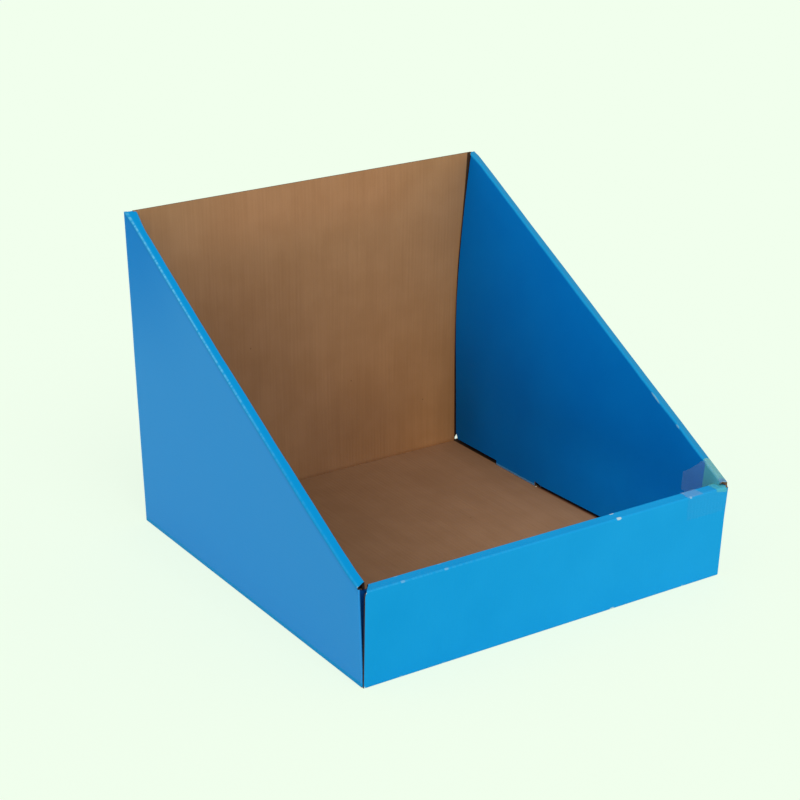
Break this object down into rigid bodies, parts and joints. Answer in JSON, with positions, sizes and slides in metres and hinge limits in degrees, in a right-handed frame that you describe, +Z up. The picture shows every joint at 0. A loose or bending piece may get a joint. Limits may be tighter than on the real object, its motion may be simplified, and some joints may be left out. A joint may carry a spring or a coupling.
{
  "type": "counter display tray",
  "caption": "Open display tray folded from one sheet of corrugated board, with a low front, sloping double sides and a high single back.",
  "frame": {"origin": "middle of the underside of the tray, on the surface that it stands on", "axes": "+X to the right of someone who faces the low front, +Y from the low front to the high back, +Z up"},
  "size_m": [0.34, 0.3652, 0.281],
  "materials": {
    "printed_board": "printed blue outside with a slight gloss, bare brown liner inside",
    "clear_film": "thin clear film"
  },
  "bodies": {
    "root": {"display_box": "printed_board", "corner_film": "clear_film"}
  },
  "joints": []
}
